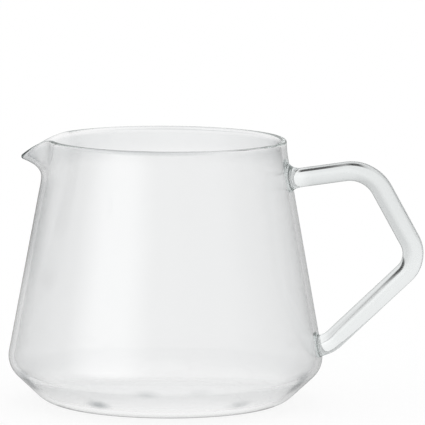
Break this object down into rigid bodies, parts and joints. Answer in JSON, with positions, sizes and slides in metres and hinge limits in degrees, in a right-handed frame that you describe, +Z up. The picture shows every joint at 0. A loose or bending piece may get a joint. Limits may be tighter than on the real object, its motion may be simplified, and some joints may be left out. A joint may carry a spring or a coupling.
{
  "type": "coffee server carafe",
  "caption": "Clear glass coffee server: a cone-shaped blown body with a drawn pouring spout and a bent solid glass bar handle.",
  "frame": {"origin": "on the body's axis in the plane of the foot, which is the table", "axes": "+Z up along the body's axis, +X towards the handle, -X towards the spout, Y across"},
  "size_m": [0.1523, 0.115, 0.097],
  "materials": {
    "blown_glass": "clear borosilicate glass, blown and fire polished",
    "bar_glass": "clear solid borosilicate bar, bent in the flame"
  },
  "bodies": {
    "root": {"body_wall": "blown_glass", "base": "blown_glass", "spout": "blown_glass", "handle": "bar_glass", "upper_handle_weld": "bar_glass", "lower_handle_weld": "bar_glass"}
  },
  "joints": []
}
